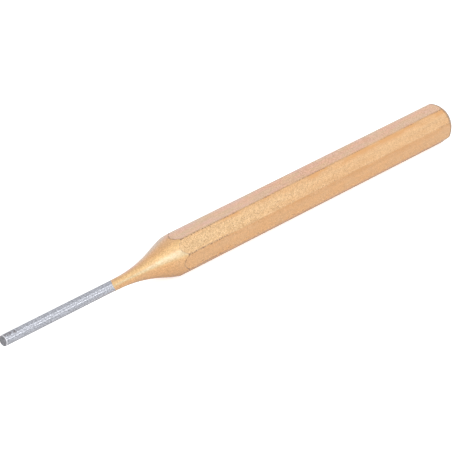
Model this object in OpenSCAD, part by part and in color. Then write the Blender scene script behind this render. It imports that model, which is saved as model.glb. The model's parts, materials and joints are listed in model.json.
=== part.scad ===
// Pin punch, turned and ground from one octagonal steel bar and dipped in lacquer up to the pin.
// The bar lies along X on one of its flats, with the pin towards +X.
// Lengths along the tool are measured from the tip.

/* [Shank] */
// Length of the steel, from the tip to the striking face
length = 150; // [125:1:200]
// Width of the octagonal bar across its flats
across_flats = 10; // [9:0.5:14]
// How much is rounded off the bar's eight corners
corner_loss = 0.06; // [0.02:0.01:0.12]

/* [Pin] */
// Diameter of the ground pin, a little under the pins that it drives out
pin_d = 2.75; // [1.5:0.05:4]
// Length of the straight pin, from the tip to where the taper begins
pin_len = 35; // [30:0.5:60]
// Chamfer round the edge of the tip
tip_chamfer = 0.12; // [0.05:0.01:0.3]

/* [Taper] */
// Radius of the hollow flare that leads out of the pin
flare_r = 40; // [20:1:48]
// Angle between the axis and the straight middle of the taper
taper_angle = 18.5; // [12:0.5:20]
// Radius of the rounded brow, where the taper meets the bar
brow_r = 30; // [8:1:36]
// Angle at which the brow runs out through the bar's corners
runout_angle = 11; // [4:0.5:12]

/* [Head] */
// Depth of the head's turned chamfer, measured in from the bar's corners
head_chamfer = 1.05; // [0.6:0.05:2]
// Length of that chamfer along the bar
head_chamfer_len = 1.35; // [0.8:0.05:3]

/* [Lacquer] */
// Thickness of the lacquer film
lacquer_t = 0.05; // [0.04:0.01:0.1]
// Thickness that the film runs out to at its edge on the pin
edge_t = 0.02; // [0.01:0.005:0.04]
// Length of the pin's root that the lacquer covers
coated_len = 2; // [0.5:0.5:20]

/* [Hidden] */
sides = 8;
half_side = 180 / sides;
round_fn = 180;
arc_steps = 12;
overrun = 2;
pin_r = pin_d / 2;
corner_r = across_flats / 2 / cos(half_side) - corner_loss;
face_r = corner_r - head_chamfer;
head_angle = atan(head_chamfer / head_chamfer_len);
tip_x = (length + lacquer_t) / 2;
axis_z = across_flats / 2 + lacquer_t;

// Where the turned outline starts: the steel at its chamfered tip, the film at its edge on the pin
steel_end = [[0, 0], [pin_r - tip_chamfer, 0], [pin_r, tip_chamfer]];
film_end = [[0, pin_len - coated_len], [pin_r + edge_t, pin_len - coated_len]];

// The brow would level out at its crest, just outside the bar's corners. What is left of the rise from
// the pin to the crest, once both arcs have had their share, is the straight middle of the taper.
crest_r = corner_r + brow_r * (1 - cos(runout_angle));
arcs_rise = (flare_r + brow_r) * (1 - cos(taper_angle));
cone_len = (crest_r - pin_r - arcs_rise) / tan(taper_angle);
crest_z = pin_len + (flare_r + brow_r) * sin(taper_angle) + cone_len;

// Points on an arc, from one angle to another
function arc(centre, r, from, to) = [
    for (i = [0:arc_steps])
        let (angle = from + (to - from) * i / arc_steps)
        centre + r * [cos(angle), sin(angle)]
];

// The head's chamfer with a film of thickness grow on it: its radius at a length, and its length at a radius
function head_r(z, grow) = face_r + grow / cos(head_angle) - (z - length) * tan(head_angle);
function head_z(r, grow) = length - (r - face_r - grow / cos(head_angle)) / tan(head_angle);

// Half of the turned outline, radius across and length up: an end on the pin, then the hollow flare, the
// straight cone, the rounded brow and the chamfered head. grow is the thickness laid over the steel.
module turned_outline(pin_end, grow) {
    polygon(concat(
        pin_end,
        arc([pin_r + flare_r, pin_len], flare_r - grow, 180, 180 - taper_angle),
        arc([crest_r - brow_r, crest_z], brow_r + grow, -taper_angle, 0),
        [[crest_r + grow, head_z(crest_r + grow, grow)]],
        [[head_r(length + grow, grow), length + grow], [0, length + grow]]
    ));
}

// The drawn bar: an octagon with its corners rounded
module octagonal_bar(grow) {
    bar_len = length + 2 * overrun;
    flats_r = (across_flats / 2 + grow) / cos(half_side);
    translate([0, 0, -overrun]) intersection() {
        rotate(half_side) cylinder(h = bar_len, r = flats_r, $fn = sides);
        cylinder(h = bar_len, r = corner_r + grow, $fn = round_fn);
    }
}

// The taper and the head's chamfer are turned on the octagonal bar, so they cut its flats into scallops
module punch_form(pin_end, grow) {
    intersection() {
        rotate_extrude($fn = round_fn) turned_outline(pin_end, grow);
        octagonal_bar(grow);
    }
}

// Lays the tool along X, tip towards +X, on one of its flats
module laid_down() {
    translate([tip_x, 0, axis_z]) rotate([0, -90, 0]) children();
}

module steel_punch() {
    color("silver") laid_down() punch_form(steel_end, 0);
}

// The film starts thin on the root of the pin and follows the steel right over the striking face
module lacquer_coat() {
    color("burlywood") laid_down() difference() {
        punch_form(film_end, lacquer_t);
        punch_form(steel_end, 0);
    }
}

steel_punch();
lacquer_coat();
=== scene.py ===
import functools
import json
import math

import bpy
from mathutils import Matrix, Vector


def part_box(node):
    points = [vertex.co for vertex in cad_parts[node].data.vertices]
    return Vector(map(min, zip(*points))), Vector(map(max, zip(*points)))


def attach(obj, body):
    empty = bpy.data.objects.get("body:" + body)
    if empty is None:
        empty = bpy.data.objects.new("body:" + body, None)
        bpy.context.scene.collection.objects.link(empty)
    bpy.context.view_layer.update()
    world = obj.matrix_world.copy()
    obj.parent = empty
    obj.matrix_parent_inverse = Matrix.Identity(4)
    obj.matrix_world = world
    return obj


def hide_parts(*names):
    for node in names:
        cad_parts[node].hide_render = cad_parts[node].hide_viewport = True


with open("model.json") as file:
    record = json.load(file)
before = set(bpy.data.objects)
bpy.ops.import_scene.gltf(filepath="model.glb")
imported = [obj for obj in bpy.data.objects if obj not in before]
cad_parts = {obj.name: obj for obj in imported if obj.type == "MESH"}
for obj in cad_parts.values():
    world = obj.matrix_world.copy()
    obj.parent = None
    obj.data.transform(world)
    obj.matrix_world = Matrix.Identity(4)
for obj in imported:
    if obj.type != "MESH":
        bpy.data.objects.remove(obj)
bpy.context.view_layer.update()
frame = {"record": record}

MM = 0.001

# The camera, as fitted to the photograph. Its angles are in degrees, azimuth from +X towards +Y.
PHOTO_PX = 452
SENSOR_MM = 36.0
FOCAL_PX = 2648.6
CAMERA_AZIMUTH = 44.801
CAMERA_ELEVATION = 30.064
CAMERA_ROLL = -0.080
CAMERA_DISTANCE = 629.47 * MM
CAMERA_TARGET = Vector((10.499, 6.838, 11.391)) * MM

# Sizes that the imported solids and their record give
steel_low, steel_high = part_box("steel_punch")
film_low, film_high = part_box("lacquer_coat")
pin_mount = next(m for m in frame["record"]["mounts"] if m["name"] == "working_pin")
tip_x = steel_high.x
axis_z = (film_low.z + film_high.z) / 2
length = tip_x - steel_low.x
film_t = steel_low.x - film_low.x
flat_r = (steel_high.z - steel_low.z) / 2
pin_r = pin_mount["dims"]["r_mm"] * MM
bare_len = tip_x - film_high.x

# Sizes of the turned and ground forms, as the solids have them
PIN_LEN = 35.0 * MM
TIP_CHAMFER = 0.12 * MM
FLARE_R = 40.0 * MM
TAPER_ANGLE = math.radians(18.5)
BROW_R = 30.0 * MM
RUNOUT_ANGLE = math.radians(11)
CORNER_LOSS = 0.06 * MM
HEAD_CHAMFER = 1.05 * MM
HEAD_CHAMFER_LEN = 1.35 * MM
FILM_EDGE_T = 0.02 * MM

# The film's edge waves round the pin. It comes nearest to the tip at this angle and on the opposite side,
# and halfway between them it stays this much further away.
EDGE_NEAREST = math.radians(50)
EDGE_WAVE = 0.8 * MM

# How far from each edge its rounding starts
TIP_SOFTENING = 0.05 * MM
SCALLOP_SOFTENING = 0.09 * MM
HEAD_SOFTENING = 0.16 * MM

SIDES = 8
HALF_SIDE = math.pi / SIDES

# Steps of the arcs and of the edges' rounding, and rows of faces on what is straight
FLARE_STEPS = 22
BROW_STEPS = 14
SOFT_STEPS = 4
PIN_ROWS = 90
SHANK_ROWS = 180
FACE_ROWS = 6

# Where the meshes have their columns on each flat and on each rounded corner, from -1 at one end of it to 1
# at the other
FLAT_COLUMNS = (-0.94, -0.8, -0.6, -0.4, -0.2, 0.0, 0.2, 0.4, 0.6, 0.8, 0.94)
CORNER_COLUMNS = (-1.0, -0.6, -0.2, 0.2, 0.6, 1.0)

# The name under which the film's mesh holds its distances from the edges
EDGE_DISTANCES = "edge_distances"

corner_r = flat_r / math.cos(HALF_SIDE) - CORNER_LOSS
corner_round = CORNER_LOSS / (1 / math.cos(HALF_SIDE) - 1)
face_r = corner_r - HEAD_CHAMFER
head_angle = math.atan(HEAD_CHAMFER / HEAD_CHAMFER_LEN)
crest_r = corner_r + BROW_R * (1 - math.cos(RUNOUT_ANGLE))
arcs_rise = (FLARE_R + BROW_R) * (1 - math.cos(TAPER_ANGLE))
cone_len = (crest_r - pin_r - arcs_rise) / math.tan(TAPER_ANGLE)
crest_s = PIN_LEN + (FLARE_R + BROW_R) * math.sin(TAPER_ANGLE) + cone_len


# Outlines. A point of an outline is (distance from the tip, radius). The angle psi goes round the tool from
# straight up towards +Y, the side that the camera sees.

def between(a, b, steps):
    """Points from a to b, without a itself."""
    return [tuple(p + (q - p) * i / steps for p, q in zip(a, b)) for i in range(1, steps + 1)]


def softened(before, corner, after, reach):
    """The corner of an outline as a small curve that starts reach before it and ends reach after it."""
    corner = Vector(corner)
    start = corner + (Vector(before) - corner).normalized() * reach
    end = corner + (Vector(after) - corner).normalized() * reach
    curve = []
    for i in range(SOFT_STEPS + 1):
        t = i / SOFT_STEPS
        curve.append(tuple(start * (1 - t) ** 2 + corner * 2 * t * (1 - t) + end * t ** 2))
    return curve


def from_flat_middle(psi):
    """The angle between psi and the middle of the nearest flat."""
    return abs((psi + HALF_SIDE) % (2 * HALF_SIDE) - HALF_SIDE)


def flat_half_angle(grow):
    """The angle from a flat's middle to where its rounded corner starts, under a film of thickness grow."""
    apothem = flat_r + grow
    rounding = corner_round + grow
    return math.atan((apothem - rounding) * math.tan(HALF_SIDE) / apothem)


def bar_radius(psi, grow):
    """Radius of the octagonal bar with rounded corners, under a film of thickness grow."""
    apothem = flat_r + grow
    rounding = corner_round + grow
    from_middle = from_flat_middle(psi)
    if from_middle <= flat_half_angle(grow):
        return apothem / math.cos(from_middle)
    from_corner = HALF_SIDE - from_middle
    centre = (apothem - rounding) / math.cos(HALF_SIDE)
    beyond_centre = math.sqrt(rounding ** 2 - (centre * math.sin(from_corner)) ** 2)
    return centre * math.cos(from_corner) + beyond_centre


def taper_and_head(psi, grow, shank_rows, face_rows):
    """The outline at angle psi, from the start of the flare to the middle of the striking face."""
    flare = FLARE_R - grow
    brow = BROW_R + grow
    bar = bar_radius(psi, grow)
    points = []
    for i in range(FLARE_STEPS + 1):
        a = TAPER_ANGLE * i / FLARE_STEPS
        points.append((PIN_LEN + flare * math.sin(a), pin_r + FLARE_R - flare * math.cos(a)))
    runout = math.acos((bar - crest_r + BROW_R) / brow)
    for i in range(BROW_STEPS):
        a = TAPER_ANGLE + (runout - TAPER_ANGLE) * i / BROW_STEPS
        points.append((crest_s - brow * math.sin(a), crest_r - BROW_R + brow * math.cos(a)))
    scallop = (crest_s - brow * math.sin(runout), bar)
    chamfer_r = face_r + grow / math.cos(head_angle)
    shoulder = (length - (bar - chamfer_r) / math.tan(head_angle), bar)
    rim = (length + grow, chamfer_r - grow * math.tan(head_angle))
    middle = (length + grow, 0.0)
    points += softened(points[-1], scallop, shoulder, SCALLOP_SOFTENING)
    head = softened(scallop, shoulder, rim, HEAD_SOFTENING)
    points += between(points[-1], head[0], shank_rows) + head[1:]
    points += softened(shoulder, rim, middle, HEAD_SOFTENING)
    points += between(points[-1], middle, face_rows)
    return points


def steel_outline(psi):
    """The steel from the middle of its tip to the middle of its striking face."""
    middle = (0.0, 0.0)
    corner_in = (0.0, pin_r - TIP_CHAMFER)
    corner_out = (TIP_CHAMFER, pin_r)
    points = [middle] + between(middle, (0.0, pin_r - 2 * TIP_CHAMFER), FACE_ROWS)
    points += softened(middle, corner_in, corner_out, TIP_SOFTENING)
    points += softened(corner_in, corner_out, (PIN_LEN, pin_r), TIP_SOFTENING)
    rest = taper_and_head(psi, 0.0, 1, 1)
    return points + between(points[-1], rest[0], PIN_ROWS) + rest[1:]


def film_outline(psi):
    """The film, from the middle of the striking face along its outside to its edge and back inside."""
    inside = taper_and_head(psi, 0.0, 1, 1)
    outside = taper_and_head(psi, film_t, SHANK_ROWS, FACE_ROWS)
    edge_s = bare_len + EDGE_WAVE * math.sin(psi - EDGE_NEAREST) ** 2
    inner_edge = (edge_s, pin_r)
    outer_edge = (edge_s, pin_r + FILM_EDGE_T)
    edge = softened(inner_edge, outer_edge, outside[0], FILM_EDGE_T / 2)
    return outside[::-1] + edge[::-1] + [inner_edge] + inside


# Meshes

def column_angles():
    """The angles of a mesh's columns: close together at the bar's rounded corners, wider on its flats."""
    flat_half = flat_half_angle(film_t)
    corner_half = HALF_SIDE - flat_half
    angles = []
    for side in range(SIDES):
        middle = 2 * HALF_SIDE * side
        angles += [middle + share * flat_half for share in FLAT_COLUMNS]
        angles += [middle + HALF_SIDE + share * corner_half for share in CORNER_COLUMNS]
    return angles


def turned_mesh(name, outline):
    """A closed mesh round the tool's axis. Its first and last outline points are on the axis."""
    angles = column_angles()
    columns = [outline(psi) for psi in angles]
    rows = len(columns[0])
    count = len(angles)
    verts = [(tip_x - columns[0][0][0], 0.0, axis_z)]
    for row in range(1, rows - 1):
        for psi, column in zip(angles, columns):
            s, r = column[row]
            verts.append((tip_x - s, r * math.sin(psi), axis_z + r * math.cos(psi)))
    verts.append((tip_x - columns[0][-1][0], 0.0, axis_z))
    last = len(verts) - 1
    faces = []
    for j in range(count):
        k = (j + 1) % count
        faces.append((0, 1 + k, 1 + j))
        faces.append((last, last - count + j, last - count + k))
        for row in range(rows - 3):
            a = 1 + row * count
            faces.append((a + j, a + k, a + count + k, a + count + j))
    mesh = bpy.data.meshes.new(name)
    mesh.from_pydata(verts, [], faces)
    mesh.validate()
    mesh.shade_smooth()
    return mesh


def edge_distances(psi, s, r):
    """Distances in mm of a point on the film from the bar's corners, the scallops and the head's shoulder.

    The last two are negative beyond the edge: on the taper, and on the head's chamfer and face.
    """
    bar = bar_radius(psi, film_t)
    brow = BROW_R + film_t
    scallop = crest_s - math.sqrt(brow ** 2 - (bar - crest_r + BROW_R) ** 2)
    shoulder = length - (bar - face_r - film_t / math.cos(head_angle)) / math.tan(head_angle)
    corner = (flat_r + film_t) * (math.tan(HALF_SIDE) - math.tan(from_flat_middle(psi)))
    if s < scallop or s > shoulder:
        corner = max(corner, abs(bar - r) + corner)
    return corner / MM, (s - scallop) / MM, (shoulder - s) / MM


def add_edge_distances(mesh):
    """Stores the distances from the edges at every vertex, for the lacquer's material."""
    distances = mesh.attributes.new(EDGE_DISTANCES, "FLOAT_VECTOR", "POINT")
    for vertex, entry in zip(mesh.vertices, distances.data):
        across = vertex.co.y
        up = vertex.co.z - axis_z
        psi = math.atan2(across, up)
        entry.vector = edge_distances(psi, tip_x - vertex.co.x, math.hypot(across, up))


# Materials. Every coordinate, size and depth in them is in millimetres.

class Nodes:
    """A material with its nodes, made and joined in one call each."""

    def __init__(self, name):
        self.material = bpy.data.materials.new(name)
        self.material.use_nodes = True
        self.tree = self.material.node_tree
        self.tree.nodes.clear()

    def add(self, kind, inputs=(), **settings):
        node = self.tree.nodes.new("ShaderNode" + kind)
        for key, value in settings.items():
            setattr(node, key, value)
        for key, value in dict(inputs).items():
            if isinstance(value, bpy.types.NodeSocket):
                self.tree.links.new(value, node.inputs[key])
            else:
                node.inputs[key].default_value = value
        return node

    def finished(self, shader):
        """The material, with this node as its surface."""
        self.add("OutputMaterial", {"Surface": shader.outputs[0]})
        return self.material

    def math(self, operation, *operands):
        return self.add("Math", dict(enumerate(operands)), operation=operation).outputs[0]

    def product(self, *values):
        return functools.reduce(lambda a, b: self.math("MULTIPLY", a, b), values)

    def most(self, *values):
        return functools.reduce(lambda a, b: self.math("MAXIMUM", a, b), values)

    def sum(self, *values):
        return functools.reduce(lambda a, b: self.math("ADD", a, b), values)

    def without(self, value):
        """One minus the value."""
        return self.math("SUBTRACT", 1.0, value)

    def band(self, value, start, end, low=0.0, high=1.0):
        """Goes smoothly from low to high as value goes from start to end."""
        inputs = {"Value": value, "From Min": start, "From Max": end, "To Min": low, "To Max": high}
        return self.add("MapRange", inputs, interpolation_type="SMOOTHSTEP").outputs["Result"]

    def within(self, value, start, full, last, end):
        """Goes smoothly from 0 at start to 1 at full, and from 1 at last to 0 at end."""
        return self.product(self.band(value, start, full), self.band(value, end, last))

    def near(self, value, centre, full, end):
        """Goes smoothly from 1, up to a distance of full from the centre, to 0 at a distance of end."""
        distance = self.math("ABSOLUTE", self.sum(value, -centre))
        return self.band(distance, end, full)

    def scaled(self, value, low, high):
        """A value between 0 and 1 as one between low and high."""
        return self.add("MapRange", {"Value": value, "To Min": low, "To Max": high}).outputs["Result"]

    def split(self, vector):
        return self.add("SeparateXYZ", {0: vector}).outputs

    def stretched(self, vector, scales):
        return self.add("VectorMath", {0: vector, 1: scales}, operation="MULTIPLY").outputs[0]

    def place(self):
        """The point on the piece: from the tip along the tool, then across and up from its axis."""
        here = self.add("TexCoord").outputs["Object"]
        inputs = {0: here, 1: (-1 / MM, 1 / MM, 1 / MM), 2: (tip_x / MM, 0, -axis_z / MM)}
        return self.add("VectorMath", inputs, operation="MULTIPLY_ADD").outputs[0]

    def unrolled(self, place, along_scale, arc_scale):
        """The same point unrolled round the axis, its seam underneath: scaled distance, scaled angle."""
        along, across, up = self.split(place)
        angle = self.math("ARCTAN2", across, up)
        scaled = {0: self.product(along, along_scale), 1: self.product(angle, arc_scale)}
        return self.add("CombineXYZ", scaled).outputs[0]

    def facing(self, direction):
        """How far the surface faces a direction: 1 where it faces it squarely."""
        normal = self.add("TexCoord").outputs["Normal"]
        return self.add("VectorMath", {0: normal, 1: direction}, operation="DOT_PRODUCT").outputs["Value"]

    def noise(self, vector, size, detail):
        """Soft noise between 0 and 1, with patches about as large as size."""
        inputs = {"Vector": vector, "Scale": 1 / size, "Detail": detail}
        return self.add("TexNoise", inputs).outputs["Fac"]

    def patchy(self, vector, size, detail, start, end):
        """Noise with more contrast: its values from start to end are spread over 0 to 1."""
        return self.band(self.noise(vector, size, detail), start, end)

    def cells(self, vector, size):
        """Cells about as large as size: the distance from a cell's centre, and its own random value."""
        outputs = self.add("TexVoronoi", {"Vector": vector, "Scale": 1 / size}).outputs
        return outputs["Distance"], self.add("SeparateColor", {0: outputs["Color"]}).outputs[0]

    def mixed(self, factor, first, second):
        return self.add("Mix", {0: factor, 6: first, 7: second}, data_type="RGBA").outputs[2]

    def tinted(self, colour, tint, amount):
        """A colour times a tint, as far as amount says."""
        tint = self.mixed(amount, NO_TINT, tint)
        return self.add("VectorMath", {0: colour, 1: tint}, operation="MULTIPLY").outputs[0]

    def lit(self, colour, brightness):
        """A colour times a brightness."""
        return self.add("VectorMath", {0: colour, "Scale": brightness}, operation="SCALE").outputs[0]

    def relief(self, *layers):
        """Bumps, one on top of another. Each layer is a height between 0 and 1, and its depth."""
        surface = {}
        for height, depth in layers:
            bump = self.add("Bump", {"Height": height, "Distance": depth * MM, **surface})
            surface = {"Normal": bump.outputs[0]}
        return bump.outputs[0]


def rgb(r, g, b):
    return (r, g, b, 1.0)


# Colours of the steel. That of the tip's face is a plain vector, as Nodes.lit takes it.
STEEL = rgb(0.465, 0.48, 0.53)
# a painted reflection: the pin's lower side tinted less blue than its upper side
LOWER_STEEL_PAINTED_REFLECTION = rgb(0.465, 0.47, 0.505)
STEEL_AT_GRAZING = rgb(0.75, 0.75, 0.77)
WORN_STEEL = rgb(0.15, 0.115, 0.11)
# a painted highlight for the rim round the tip's end
PAINTED_RIM_HIGHLIGHT = rgb(0.85, 0.84, 0.88)
TIP_FACE = (0.29, 0.29, 0.31)

# Colours of the lacquer
GOLD = rgb(0.745, 0.44, 0.185)
DEEP_GOLD = rgb(0.735, 0.415, 0.155)
# painted highlight: yellower gold for the upper front facet and the taper's front
PAINTED_LIT_GOLD_ON_FRONT = rgb(0.70, 0.455, 0.205)
PAINTED_LIT_GOLD_NEAR_HEAD = rgb(0.70, 0.432, 0.19)
PAINTED_LIT_GOLD_ON_TAPER = rgb(0.7, 0.457, 0.195)
# painted shade in strips beside the front's upper corners
PAINTED_CORNER_SHADE = rgb(0.67, 0.345, 0.1)
# a painted reflection, grey, for the head's chamfer
PAINTED_CHAMFER_REFLECTION = rgb(0.3, 0.26, 0.27)
# dark lines on the edges
DARK_EDGE_LINE = rgb(0.22, 0.1, 0.04)
DARK_SPECK = rgb(0.36, 0.19, 0.06)
PALE_SPECK = rgb(0.97, 0.75, 0.48)
DIRT = rgb(0.22, 0.11, 0.05)

# Tints, by which the gold is multiplied
NO_TINT = rgb(1, 1, 1)
# painted reflection: pink and mauve tints for the top
PAINTED_PINK_REFLECTION = rgb(1.02, 1.18, 1.8)
PAINTED_MAUVE_REFLECTION = rgb(1.06, 1.13, 1.9)
WARMER = rgb(1.0, 0.93, 0.84)
# a painted reflection, cooler, for the far edge and far rim
PAINTED_RIM_REFLECTION = rgb(0.96, 1.06, 1.28)
# a painted highlight tint, paler
PAINTED_HIGHLIGHT_TINT = rgb(0.93, 1.07, 1.3)
# a painted light tint, brighter
PAINTED_LIGHT_TINT = rgb(1.09, 1.08, 1.02)
# painted shade for the bar's lower front facet, browner
PAINTED_UNDERSIDE_SHADE = rgb(0.86, 0.77, 0.62)
# painted shade for the taper's lower rim, darker
PAINTED_LOWER_RIM_SHADE = rgb(0.82, 0.87, 0.88)
BROWN_FLAKE = rgb(0.6, 0.47, 0.25)
YELLOW_FLAKE = rgb(1.33, 1.5, 1.85)

# Stretches along the tool, measured from the tip, over which the steel's look changes
END_FACE = (0.05, 0.02)
RIM = (0.3, 0.2)
WEAR = (5.5, 3.0)

# The same for the lacquer
LOWER_RIM_FADES = (40, 44)
FRONT_DEEPENS = (56, 116)
STRIPS_WIDEN = (60, 100)
STRIPS_DEEPEN = (62, 80)
TOP_WARMS = (76, 90)
GRAIN_CALMS = (95, 128)

# Angles of two lines along the front of the taper, in radians from straight up: a painted highlight and a
# painted brighter band above it
PAINTED_HIGHLIGHT_LINE = 1.0
PAINTED_LIGHT_LINE = 0.5

# Sizes of the lacquer's flakes and specks, and the spacing of its pits
FLAKE_SIZE = 0.22
SPECK_SIZE = 0.38
PIT_SPACING = 2.2

UPPER_FRONT = (0, math.sqrt(0.5), math.sqrt(0.5))
LOWER_FRONT = (0, math.sqrt(0.5), -math.sqrt(0.5))
HEADWARDS = (-1, 0, 0)


def steel_material():
    n = Nodes("ground_steel")
    place = n.place()
    along, across, up = n.split(place)
    on_end = n.band(along, *END_FACE)
    on_rim = n.product(n.band(along, *RIM), n.without(on_end))

    # grinding marks: dashes and ticks round the pin, slow waves in its surface, and lengthwise streaks
    dashes = n.patchy(n.unrolled(place, 2.2, 5.5), 1.0, 3.0, 0.36, 0.64)
    ticks = n.patchy(n.unrolled(place, 4.0, 2.6), 1.0, 2.0, 0.35, 0.65)
    waves = n.noise(n.unrolled(place, 0.8, 1.5), 1.0, 2.0)
    streaks = n.patchy(n.stretched(place, (0.3, 4.0, 4.0)), 1.0, 3.0, 0.3, 0.7)
    marks = n.sum(n.scaled(dashes, -0.24, 0.34), n.scaled(ticks, -0.12, 0.12))
    # painted reflection: the lower side of the pin tinted less blue
    steel = n.mixed(n.band(up, 0.2, -0.4), STEEL, LOWER_STEEL_PAINTED_REFLECTION)
    steel = n.lit(steel, n.sum(n.scaled(streaks, 0.9, 1.06), marks))

    # a few brownish spots where the tip has worked against other steel, and a painted highlight on the rim
    # round its end
    mottling = n.noise(place, 0.5, 3.0)
    spots = n.band(mottling, 0.46, 0.56)
    worn = n.product(spots, n.band(along, *WEAR), n.band(up, 0.95, 1.22))
    steel = n.mixed(n.product(worn, 0.6), steel, WORN_STEEL)
    steel = n.mixed(n.product(on_rim, 0.8), steel, PAINTED_RIM_HIGHLIGHT)
    steel = n.mixed(on_end, steel, n.lit(TIP_FACE, n.band(mottling, 0.3, 0.7, 0.75, 1.25)))

    roughness = n.sum(n.scaled(dashes, 0.28, 0.04), n.product(worn, 0.25))
    return n.finished(n.add("BsdfPrincipled", {
        "Base Color": steel,
        "Metallic": 1.0,
        "Roughness": n.most(roughness, n.product(on_end, 0.5)),
        "Specular Tint": STEEL_AT_GRAZING,
        "Normal": n.relief((waves, 0.012), (dashes, 0.004), (spots, 0.004)),
    }))


class LacquerNodes(Nodes):
    """The lacquer's nodes, with the distances, places and patterns that several of its layers share.

    A place is a value that is 1 there and 0 elsewhere.
    """

    def __init__(self, name):
        super().__init__(name)
        self.point = self.place()
        self.along, self.across, self.up = self.split(self.point)
        self.angle = self.split(self.unrolled(self.point, 1.0, 1.0))[1]
        edges = self.add("Attribute", attribute_name=EDGE_DISTANCES).outputs["Vector"]
        self.from_corner, self.past_scallop, self.before_head = self.split(edges)

        # the bar and the taper, what faces the front or lies high on either, and the bar's end at the head
        self.on_bar = self.band(self.past_scallop, -0.1, 0.1)
        self.on_taper = self.without(self.on_bar)
        self.on_front = self.band(self.facing(UPPER_FRONT), 0.78, 0.96)
        self.upper = self.band(self.up, 2.5, 4.5)
        self.towards_head = self.band(self.along, *GRAIN_CALMS)

        # the top facet up to the head's chamfer, and the far upper side of the taper
        top_facet = self.within(self.angle, -0.45, -0.4, 0.35, 0.4)
        before_chamfer = self.band(self.before_head, -0.4, -0.1)
        self.top_of_bar = self.product(top_facet, self.on_bar, before_chamfer)
        far_side = self.within(self.angle, -1.2, -0.8, -0.36, 0.13)
        self.top_of_taper = self.product(far_side, self.on_taper)
        self.on_top = self.sum(self.top_of_bar, self.top_of_taper)
        warmed = self.product(self.band(self.along, *TOP_WARMS), self.scaled(self.towards_head, 1.0, 0.5))
        self.warm_top = self.product(self.on_top, warmed)

        # specks and pits crowd on the upper front and beside the corners, but not on top nor near the head
        beside_corner = self.band(self.from_corner, 1.5, 0.5)
        beside_corner = self.product(beside_corner, self.scaled(self.on_top, 0.9, 0.1))
        crowded = self.most(self.product(self.on_front, 0.7), beside_corner)
        self.speckled = self.product(crowded, self.on_bar, self.scaled(self.towards_head, 1.0, 0.25))
        from_pit, chance = self.cells(self.point, PIT_SPACING)
        pitted = self.product(self.band(from_pit, 0.1, 0.05), self.band(chance, 0.5, 0.55))
        self.pits = self.product(pitted, self.speckled)

        # soft clouds, longer patches, fine lengthwise bands and the fine grain
        self.clouds = self.patchy(self.stretched(self.point, (0.4, 1.0, 1.0)), 2.2, 3.0, 0.3, 0.7)
        self.patches = self.patchy(self.stretched(self.point, (0.25, 1.0, 1.0)), 1.6, 2.0, 0.42, 0.6)
        self.drawn = self.patchy(self.stretched(self.point, (0.03, 2.6, 2.6)), 1.0, 3.0, 0.3, 0.7)
        self.grain = self.patchy(self.point, 0.2, 2.0, 0.3, 0.7)


def plain_gold(n):
    """Gold in clouds and lengthwise bands, with painted light: a painted highlight makes it yellower on the
    upper front, a painted reflection pinker on top, and painted shade browner below.
    """
    # painted highlight: the upper front yellower, changing towards the head and on the taper
    front = n.mixed(n.band(n.along, *FRONT_DEEPENS), PAINTED_LIT_GOLD_ON_FRONT, PAINTED_LIT_GOLD_NEAR_HEAD)
    front = n.mixed(n.on_taper, front, PAINTED_LIT_GOLD_ON_TAPER)
    gold = n.mixed(n.clouds, GOLD, DEEP_GOLD)
    gold = n.mixed(n.on_front, gold, front)
    # painted reflection: the top tinted pink and mauve
    gold = n.tinted(gold, n.mixed(n.patches, PAINTED_PINK_REFLECTION, PAINTED_MAUVE_REFLECTION), n.on_top)
    gold = n.tinted(gold, WARMER, n.warm_top)

    # painted light: a painted reflection on the far edge of the top and the far upper rim of the taper, a
    # painted highlight and a painted brighter line along the front of the taper, and painted shade on the
    # bar's lower front and the lower rim of the taper
    far_edge = n.product(n.top_of_bar, n.band(n.across, -0.9, -1.9))
    far_rim = n.product(n.top_of_taper, n.band(n.angle, -0.15, -0.5))
    # painted reflection: the far edge of the top and the taper's far upper rim tinted cooler
    gold = n.tinted(gold, PAINTED_RIM_REFLECTION, n.sum(far_edge, far_rim))
    # painted highlight: a paler line along the taper's front
    gold = n.tinted(gold, PAINTED_HIGHLIGHT_TINT, n.product(n.near(n.angle, PAINTED_HIGHLIGHT_LINE, 0.06, 0.24), n.on_taper))
    # painted light: a brighter band on the taper's upper front
    gold = n.tinted(gold, PAINTED_LIGHT_TINT, n.product(n.near(n.angle, PAINTED_LIGHT_LINE, 0.08, 0.3), n.on_taper))
    # painted shade: the lower front facet browner
    gold = n.tinted(gold, PAINTED_UNDERSIDE_SHADE, n.band(n.facing(LOWER_FRONT), 0.9, 0.99))
    # painted shade: the taper's lower rim darker
    shaded_lower_rim = n.product(n.within(n.angle, 1.7, 2.2, 2.6, 3.1), n.on_taper)
    gold = n.tinted(gold, PAINTED_LOWER_RIM_SHADE, n.product(shaded_lower_rim, n.band(n.along, *LOWER_RIM_FADES, 1.0, 0.3)))
    return n.lit(gold, n.product(n.scaled(n.drawn, 0.97, 1.03), n.scaled(n.clouds, 0.975, 1.025)))


def with_grain(n, gold):
    """Gold with small flakes, pale yellow or golden brown, and dark and pale specks among them."""
    flake = n.mixed(n.cells(n.point, FLAKE_SIZE)[1], BROWN_FLAKE, YELLOW_FLAKE)
    on_bar_front = n.product(n.on_front, n.on_bar, n.scaled(n.towards_head, 0.28, 0.1))
    depth = n.sum(0.26, on_bar_front, n.product(n.on_taper, 0.08), n.product(n.warm_top, 0.16))
    gold = n.tinted(gold, flake, depth)
    from_speck, chance = n.cells(n.point, SPECK_SIZE)
    speck = n.product(n.band(from_speck, 0.42, 0.26), n.scaled(n.speckled, 0.08, 1.0))
    gold = n.mixed(n.product(speck, n.band(chance, 0.77, 0.79), 0.9), gold, DARK_SPECK)
    return n.mixed(n.product(speck, n.band(chance, 0.18, 0.16), 0.6), gold, PALE_SPECK)


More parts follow.
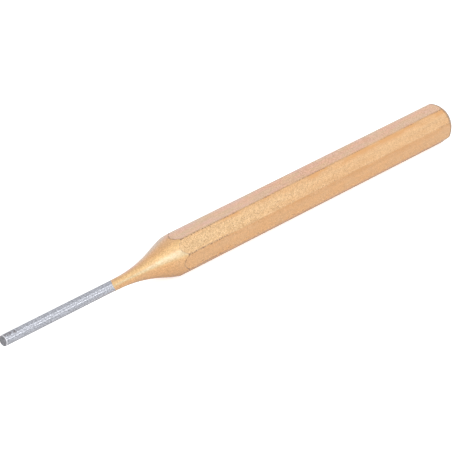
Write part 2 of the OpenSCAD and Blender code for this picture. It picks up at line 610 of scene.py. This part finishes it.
def with_painted_shade_strips(n, gold):
    """Gold with a browner strip of painted shade beside each upper corner of the front, wider towards the
    head.

    It is deepest below the top corner. Beside the next one it is deeper below the corner than above.
    """
    width = n.band(n.along, *STRIPS_WIDEN, 1.1, 2.4)
    beside_corner = n.band(n.math("DIVIDE", n.from_corner, width), 1.0, 0.0)
    # painted shade: a browner strip beside the upper corners of the front
    corner_shade = n.product(beside_corner, n.on_bar, n.band(n.up, -1, 1), n.band(n.across, 1.8, 2.3))
    corner_shade = n.product(corner_shade, n.most(n.scaled(n.upper, 0.3, 1.0), n.band(n.up, 2.1, 1.9, 0.0, 0.6)))
    corner_shade = n.product(corner_shade, n.scaled(n.patches, 0.45, 1.2), n.band(n.along, *STRIPS_DEEPEN, 0.8, 1.1))
    return n.mixed(corner_shade, gold, PAINTED_CORNER_SHADE)


def with_dark_edge_lines(n, gold):
    """Gold with dark, broken lines on the edges, and a painted grey reflection on the head's chamfer."""
    broken = n.patchy(n.stretched(n.point, (1.0, 0.5, 0.5)), 0.35, 2.0, 0.46, 0.58)

    # the corners show most high on the bar and near its ends. Their lines are fainter where they lie on the
    # top facet, and towards the head until just before it.
    near_ends = n.most(n.band(n.past_scallop, 16, 10), n.band(n.before_head, 6, 3, 0.0, 0.6))
    clear = n.most(n.product(n.upper, n.scaled(n.patches, 0.45, 0.95)), n.product(near_ends, 0.9), 0.1)
    faint = n.product(n.towards_head, n.band(n.before_head, 2, 6))
    clear = n.product(clear, n.scaled(faint, 1.0, 0.55), n.scaled(n.on_top, 1.0, 0.45))
    corner_line = n.product(n.band(n.from_corner, 0.34, 0.1), n.on_bar, n.scaled(broken, 0.1, 1.0), clear)

    # the scallops, with darker points where two of them meet, and the shoulder of the head
    on_scallop = n.near(n.past_scallop, 0.0, 0.08, 0.3)
    scallop_point = n.product(on_scallop, n.band(n.from_corner, 0.35, 0.12), 0.9)
    scallop_line = n.product(on_scallop, n.scaled(broken, 0.2, 0.85), n.scaled(n.on_front, 1.0, 0.5))
    head_line = n.product(n.near(n.before_head, 0.0, 0.25, 0.75), n.scaled(broken, 0.5, 0.75))
    # dark, broken lines on the corners, the scallops and the head's shoulder
    gold = n.mixed(n.most(corner_line, scallop_point, scallop_line, head_line), gold, DARK_EDGE_LINE)

    # painted reflection: the head's chamfer greyed
    on_chamfer = n.product(n.band(n.before_head, -0.1, -0.35), n.band(n.facing(HEADWARDS), 0.97, 0.8))
    return n.mixed(n.product(on_chamfer, 0.8), gold, PAINTED_CHAMFER_REFLECTION)


def lacquer_material():
    n = LacquerNodes("gold_lacquer")
    gold = plain_gold(n)
    gold = with_grain(n, gold)
    gold = with_painted_shade_strips(n, gold)
    gold = with_dark_edge_lines(n, gold)
    gold = n.mixed(n.product(n.pits, 0.8), gold, DIRT)
    turned = n.noise(n.unrolled(n.point, 5.0, 1.2), 1.0, 2.0)
    relief = n.relief(
        (n.clouds, 0.012),
        (n.grain, 0.01),
        (n.product(turned, n.on_taper), 0.011),
        (n.product(n.drawn, n.on_bar), 0.006),
        (n.without(n.pits), 0.02))
    return n.finished(n.add("BsdfPrincipled", {
        "Base Color": gold,
        "Metallic": 0.9,
        "Roughness": n.scaled(n.grain, 0.58, 0.7),
        "Normal": relief,
        "Coat Weight": 1.0,
        "Coat Roughness": 0.25,
        "Coat IOR": 1.85,
        "Coat Normal": relief,
    }))


# The object

def add_piece(name, outline, material, node):
    piece = bpy.data.objects.new(name, turned_mesh(name, outline))
    bpy.context.scene.collection.objects.link(piece)
    piece.data.materials.append(material)
    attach(piece, "root")
    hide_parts(node)
    return piece


add_piece("ground_steel_punch", steel_outline, steel_material(), "steel_punch")
film = add_piece("gold_lacquer_film", film_outline, lacquer_material(), "lacquer_coat")
add_edge_distances(film.data)


# The stage. The floor glows for the camera, so that it looks white, and faintly in the object's gloss.

FLOOR_HALF = 3.0
FLOOR_GREY = 0.85
FLOOR_GLOW = 0.62
FLOOR_GLOW_IN_GLOSS = 0.04
WORLD_STRENGTH = 0.9
LAMP_DISTANCE = 0.9


def add_floor():
    corners = [(x * FLOOR_HALF, y * FLOOR_HALF, 0.0) for x, y in ((-1, -1), (1, -1), (1, 1), (-1, 1))]
    mesh = bpy.data.meshes.new("floor")
    mesh.from_pydata(corners, [], [(0, 1, 2, 3)])
    floor = bpy.data.objects.new("floor", mesh)
    bpy.context.scene.collection.objects.link(floor)
    n = Nodes("pale_floor")
    diffuse = n.add("BsdfDiffuse", {"Color": rgb(FLOOR_GREY, FLOOR_GREY, FLOOR_GREY)})
    path = n.add("LightPath").outputs
    seen = n.product(path["Is Camera Ray"], FLOOR_GLOW)
    mirrored = n.product(path["Is Glossy Ray"], FLOOR_GLOW_IN_GLOSS)
    glow = n.add("Emission", {"Color": rgb(1, 1, 1), "Strength": n.sum(seen, mirrored)})
    mesh.materials.append(n.finished(n.add("AddShader", {0: diffuse.outputs[0], 1: glow.outputs[0]})))


def add_world():
    world = bpy.data.worlds.new("studio")
    bpy.context.scene.world = world
    world.use_nodes = True
    background = world.node_tree.nodes["Background"]
    background.inputs["Color"].default_value = rgb(1, 1, 1)
    background.inputs["Strength"].default_value = WORLD_STRENGTH


def add_softbox(name, lean, x, span, width, radiance):
    """A softbox facing the tool at x, lean degrees from straight above it towards the camera's side."""
    light = bpy.data.lights.new(name, "AREA")
    light.shape = "RECTANGLE"
    light.size = span
    light.size_y = width
    light.energy = radiance * math.pi * span * width
    lamp = bpy.data.objects.new(name, light)
    lean = math.radians(lean)
    lamp.location = (x, LAMP_DISTANCE * math.sin(lean), LAMP_DISTANCE * math.cos(lean))
    lamp.rotation_euler = (-lean, 0, 0)
    bpy.context.scene.collection.objects.link(lamp)


def add_camera():
    azimuth, elevation, roll = (math.radians(a) for a in (CAMERA_AZIMUTH, CAMERA_ELEVATION, CAMERA_ROLL))
    back = Vector((
        math.cos(elevation) * math.cos(azimuth),
        math.cos(elevation) * math.sin(azimuth),
        math.sin(elevation)))
    level_right = Vector((0, 0, 1)).cross(back).normalized()
    level_up = back.cross(level_right)
    up = level_up * math.cos(roll) + level_right * math.sin(roll)
    right = up.cross(back)
    data = bpy.data.cameras.new("camera")
    data.sensor_width = SENSOR_MM
    data.lens = FOCAL_PX / PHOTO_PX * SENSOR_MM
    camera = bpy.data.objects.new("camera", data)
    rotation = Matrix((right, up, back)).transposed().to_4x4()
    camera.matrix_world = Matrix.Translation(CAMERA_TARGET + back * CAMERA_DISTANCE) @ rotation
    bpy.context.scene.collection.objects.link(camera)
    bpy.context.scene.camera = camera


add_floor()
add_world()
add_softbox("wide_softbox", lean=41, x=-0.5, span=1.9, width=0.94, radiance=0.24)
add_softbox("upper_strip", lean=18.5, x=-0.5, span=1.9, width=0.08, radiance=1.4)
add_softbox("lower_strip", lean=67.5, x=-0.5, span=1.9, width=0.08, radiance=2.05)
add_softbox("key_softbox", lean=48.5, x=0.06, span=0.3, width=0.3, radiance=4.8)
add_camera()

bpy.context.scene.view_settings.view_transform = "Standard"
